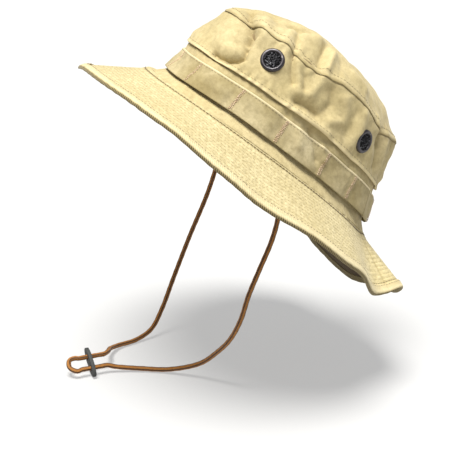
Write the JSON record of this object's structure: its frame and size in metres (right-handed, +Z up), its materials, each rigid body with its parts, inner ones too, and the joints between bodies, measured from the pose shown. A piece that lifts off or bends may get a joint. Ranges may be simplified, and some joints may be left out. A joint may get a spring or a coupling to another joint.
{
  "type": "boonie hat",
  "caption": "Soft khaki sun hat with a stitched drooping brim, foliage band, mesh vents and a chin cord with a sliding keeper.",
  "frame": {"origin": "centre of the head opening, on the level of the seam between crown and brim", "axes": "+Z straight up with the hat pitched back 40.5 degrees as worn, front of the brim towards -Y, wearer's left towards +X"},
  "size_m": [0.2649, 0.2784, 0.3031],
  "materials": {
    "khaki_cloth": "washed cotton twill",
    "brim_cloth": "washed cotton twill, quilted in rings",
    "binding_tape": "ribbed cotton tape",
    "lining_tape": "plain woven tape",
    "interlining": "stiff woven interlining",
    "gunmetal": "satin gunmetal lacquer",
    "vent_mesh": "black mesh",
    "cord_braid": "braided cord with dark stripes",
    "keeper_leather": "matte dark leather"
  },
  "bodies": {
    "hat": {"crown_top": "khaki_cloth", "crown_side": "khaki_cloth", "crown_base_wall": "khaki_cloth", "foliage_band": "khaki_cloth", "sweatband": "lining_tape", "crown_seam_tape": "lining_tape", "brim_top_cloth": "brim_cloth", "brim_interlining": "interlining", "brim_under_cloth": "brim_cloth", "brim_binding": "binding_tape", "vent_ring_left_front": "gunmetal", "vent_ring_left_back": "gunmetal", "vent_ring_right_front": "gunmetal", "vent_ring_right_back": "gunmetal", "vent_screen_left_front": "vent_mesh", "vent_screen_left_back": "vent_mesh", "vent_screen_right_front": "vent_mesh", "vent_screen_right_back": "vent_mesh", "vent_washer_left_front": "gunmetal", "vent_washer_left_back": "gunmetal", "vent_washer_right_front": "gunmetal", "vent_washer_right_back": "gunmetal", "cord_anchor_left": "lining_tape", "cord_anchor_right": "lining_tape", "chin_cord": "cord_braid"},
    "keeper": {"cord_keeper": "keeper_leather"}
  },
  "joints": [
    {"name": "keeper_slide", "type": "slide", "parent": "hat", "child": "keeper", "axis": [-0.0797, 0.9968, 0], "range_m": [-0.004, 0.008]}
  ]
}
